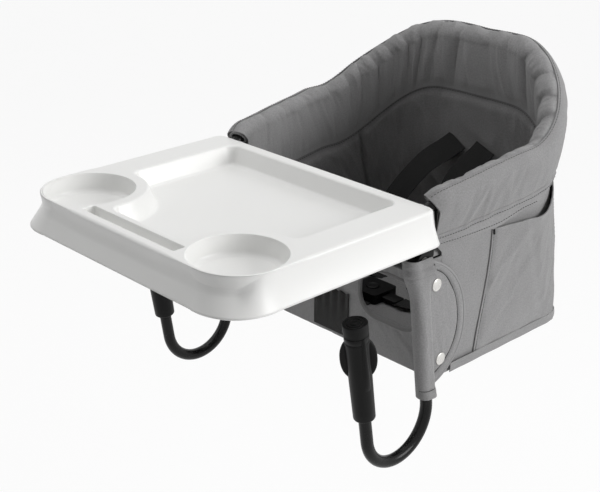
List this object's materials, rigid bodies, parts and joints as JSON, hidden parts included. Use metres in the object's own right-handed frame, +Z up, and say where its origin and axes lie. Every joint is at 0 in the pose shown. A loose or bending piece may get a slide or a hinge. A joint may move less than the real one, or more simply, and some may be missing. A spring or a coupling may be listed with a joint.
{
  "type": "hook-on table chair",
  "caption": "Cloth bucket seat on a bent steel hoop that hangs from a table edge by two arms and two screw-clamp hooks, with a moulded tray.",
  "frame": {"origin": "on the table top, midway between the arms, where the table's edge lies", "axes": "+Z up, -Y over the table, +X to the right as seen from the table"},
  "size_m": [0.4268, 0.6766, 0.4602],
  "materials": {
    "black_steel": "semi-gloss black paint",
    "bright_steel": "bright nickel plate",
    "black_plastic": "fine grained, slight sheen",
    "black_rubber": "matt",
    "white_plastic": "glossy",
    "grey_cloth": "plain woven, matt",
    "grey_lining": "padded, matt",
    "black_cloth": "matt",
    "black_webbing": "woven webbing"
  },
  "bodies": {
    "frame": {"hoop_tube": "black_steel", "arm_tube_right": "black_steel", "arm_cover_right": "black_rubber", "arm_end_cap_right": "black_plastic", "hinge_bracket_right": "black_plastic", "arm_tube_left": "black_steel", "arm_cover_left": "black_rubber", "arm_end_cap_left": "black_plastic", "hinge_bracket_left": "black_plastic", "hinge_pin_right": "bright_steel", "hinge_washer_right": "black_plastic", "hinge_pin_left": "bright_steel", "hinge_washer_left": "black_plastic", "rim_sleeve": "grey_cloth", "rim_hem": "grey_cloth", "side_cloth_right": "grey_cloth", "side_cloth_left": "grey_cloth", "back_cloth": "grey_cloth", "side_lining_right": "grey_lining", "side_lining_left": "grey_lining", "back_lining": "grey_lining", "bottom_cloth": "grey_cloth", "seat_board": "black_plastic", "seat_cushion": "grey_lining", "front_panel": "grey_cloth", "crotch_patch": "black_cloth", "rear_pocket": "grey_cloth", "hook_flap_right": "grey_cloth", "snap_upper_right": "bright_steel", "snap_lower_right": "bright_steel", "hook_flap_left": "grey_cloth", "snap_upper_left": "bright_steel", "snap_lower_left": "bright_steel", "buckle_body": "black_plastic", "shoulder_strap_right": "black_webbing", "waist_strap_right": "black_webbing", "shoulder_strap_left": "black_webbing", "waist_strap_left": "black_webbing", "crotch_strap": "black_webbing"},
    "tray": {"tray": "white_plastic"},
    "buckle_button": {"buckle_button": "black_plastic"},
    "hook_right": {"hook_hub_right": "black_plastic", "hook_tube_right": "black_steel", "clamp_stud_right": "bright_steel"},
    "clamp_foot_right": {"clamp_pad_right": "black_rubber"},
    "clamp_screw_right": {"clamp_grip_right": "black_plastic"},
    "buckle_tongue_right": {"buckle_tongue_right": "black_plastic"},
    "hook_left": {"hook_hub_left": "black_plastic", "hook_tube_left": "black_steel", "clamp_stud_left": "bright_steel"},
    "clamp_foot_left": {"clamp_pad_left": "black_rubber"},
    "clamp_screw_left": {"clamp_grip_left": "black_plastic"},
    "buckle_tongue_left": {"buckle_tongue_left": "black_plastic"}
  },
  "joints": [
    {"name": "hook_fold_right", "type": "hinge", "parent": "frame", "child": "hook_right", "pos_m": [0.196, 0.03293, -0.01034], "axis": [1, 0, 0], "range_deg": [0, 84], "deforming": ["hook_flap_right", "side_cloth_right", "side_lining_right", "rear_pocket", "rim_hem", "snap_upper_right", "snap_lower_right"]},
    {"name": "clamp_lift_right", "type": "slide", "parent": "hook_right", "child": "clamp_foot_right", "axis": [0, -0.1564, 0.9877], "range_m": [-0.006, 0.028]},
    {"name": "clamp_turn_right", "type": "hinge", "parent": "clamp_foot_right", "child": "clamp_screw_right", "pos_m": [0.196, -0.04732, -0.2296], "axis": [0, -0.1564, 0.9877], "range_deg": [-308, 1439]},
    {"name": "tongue_release_right", "type": "slide", "parent": "frame", "child": "buckle_tongue_right", "axis": [1, 0, 0], "range_m": [0, 0.018], "deforming": ["waist_strap_right"]},
    {"name": "hook_fold_left", "type": "hinge", "parent": "frame", "child": "hook_left", "pos_m": [-0.196, 0.03293, -0.01034], "axis": [1, 0, 0], "range_deg": [0, 84], "deforming": ["hook_flap_left", "side_cloth_left", "side_lining_left", "rear_pocket", "rim_hem", "snap_upper_left", "snap_lower_left"]},
    {"name": "clamp_lift_left", "type": "slide", "parent": "hook_left", "child": "clamp_foot_left", "axis": [0, -0.1564, 0.9877], "range_m": [-0.006, 0.028]},
    {"name": "clamp_turn_left", "type": "hinge", "parent": "clamp_foot_left", "child": "clamp_screw_left", "pos_m": [-0.196, -0.04732, -0.2296], "axis": [0, -0.1564, 0.9877], "range_deg": [-308, 1439]},
    {"name": "tongue_release_left", "type": "slide", "parent": "frame", "child": "buckle_tongue_left", "axis": [-1, 0, 0], "range_m": [0, 0.018], "deforming": ["waist_strap_left"]},
    {"name": "tray_lift", "type": "slide", "parent": "frame", "child": "tray", "axis": [0, 0, 1], "range_m": [0, 0.06]},
    {"name": "button_press", "type": "slide", "parent": "frame", "child": "buckle_button", "axis": [0, 0, -1], "range_m": [0, 0.002], "stiffness_N_per_m": 400, "springref_m": -0.001}
  ],
  "couplings": [
    {"joint": "clamp_lift_right", "follows": "clamp_turn_right", "m_per_rad": 0.0011141},
    {"joint": "clamp_lift_left", "follows": "clamp_turn_left", "m_per_rad": 0.0011141}
  ]
}
